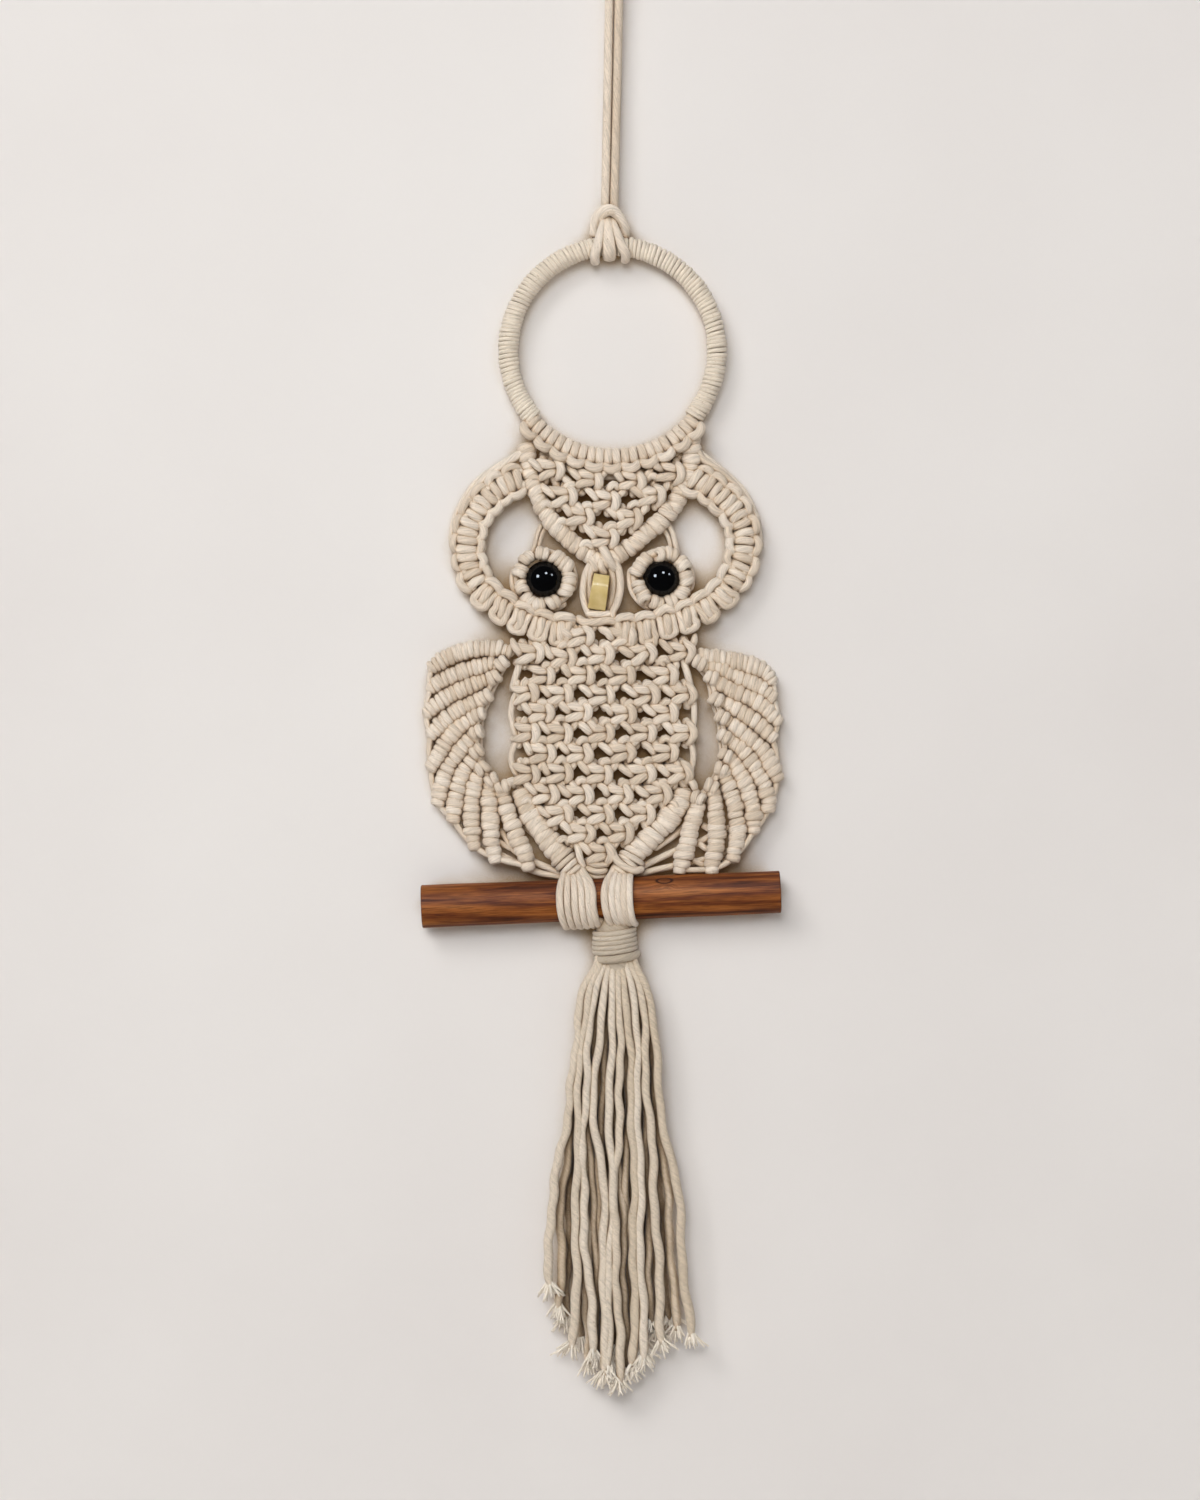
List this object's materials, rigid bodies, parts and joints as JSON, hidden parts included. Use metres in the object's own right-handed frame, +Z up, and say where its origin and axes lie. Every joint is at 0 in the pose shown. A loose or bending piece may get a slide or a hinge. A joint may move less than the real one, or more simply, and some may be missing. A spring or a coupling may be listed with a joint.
{
  "type": "macrame owl wall hanging with wooden perch",
  "caption": "Knotted cotton owl hung from a cord-bound ring, with bead eyes and beak, fanned wings, a round wooden perch and a long tassel.",
  "frame": {"origin": "the hanging point, inside the crown of the cord's loop", "axes": "+Z up, +X to the right of someone facing the owl, the owl looks along -Y and the wall is at +Y"},
  "size_m": [0.1591, 0.0262, 0.6398],
  "materials": {
    "cotton": "natural undyed cotton cord, matt",
    "black_bead": "polished black",
    "yellow_bead": "polished pale yellow",
    "wood": "oiled reddish brown wood"
  },
  "bodies": {
    "root": {"hanging_cord": "cotton", "ring": "cotton", "owl_macrame": "cotton", "eye_left": "black_bead", "eye_right": "black_bead", "beak": "yellow_bead", "perch": "wood", "tassel": "cotton"}
  },
  "joints": []
}
